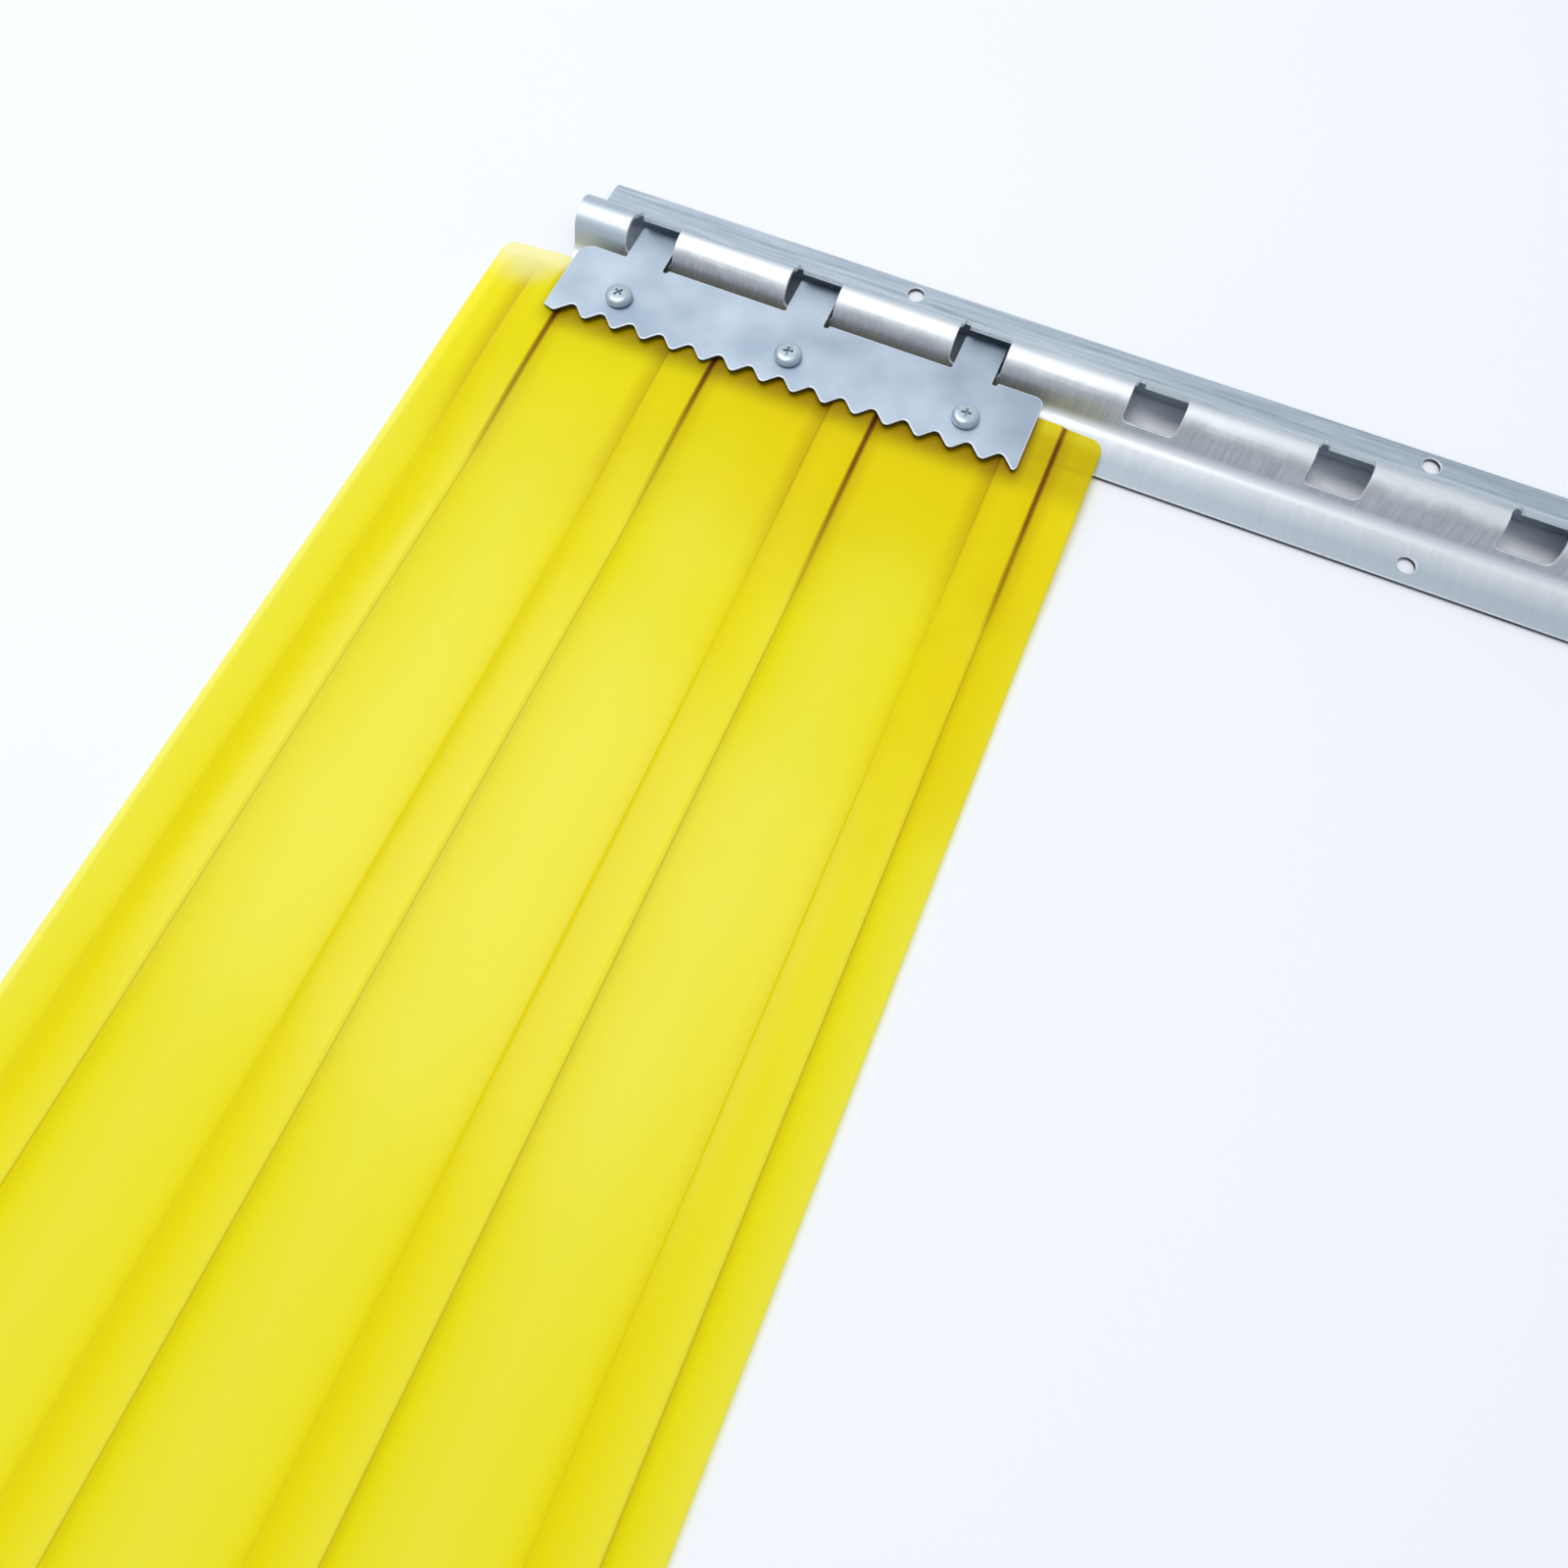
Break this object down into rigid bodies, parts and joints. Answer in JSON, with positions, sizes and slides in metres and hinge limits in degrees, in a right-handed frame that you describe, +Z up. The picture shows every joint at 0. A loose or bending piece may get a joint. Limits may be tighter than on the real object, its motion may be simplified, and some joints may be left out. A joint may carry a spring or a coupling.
{
  "type": "pvc strip curtain",
  "caption": "PVC strip curtain sample: a windowed galvanised hanging rail, hooked clamp plates and a ribbed yellow strip.",
  "frame": {"origin": "on the back of the rail's upper flange, at mid length, on the line of the upper mounting holes", "axes": "+X along the rail to the right as seen from the front, +Y towards the rail's top edge (up when mounted), +Z out from the wall or lintel towards the viewer; the part lies on its back, so +Z is up"},
  "size_m": [1.0083, 2.0392, 0.0124],
  "materials": {
    "galvanised_rail": "hot dip galvanised, faintly streaked",
    "zinc_plate": "zinc plated, smooth satin",
    "zinc_back_plate": "zinc plated, smooth satin",
    "yellow_pvc": "translucent, glossy, ribbed",
    "zinc_screw": "bright zinc"
  },
  "bodies": {
    "rail_body": {"rail": "galvanised_rail"},
    "curtain": {"front_clamp_plate": "zinc_plate", "back_clamp_plate": "zinc_back_plate", "pvc_strip": "yellow_pvc", "clamp_screw_1": "zinc_screw", "clamp_screw_2": "zinc_screw", "clamp_screw_3": "zinc_screw"}
  },
  "joints": [
    {"name": "curtain_swing", "type": "hinge", "parent": "rail_body", "child": "curtain", "pos_m": [-0.4125, -0.02504, 0.00544], "axis": [-1, 0, 0], "range_deg": [0, 16]}
  ]
}
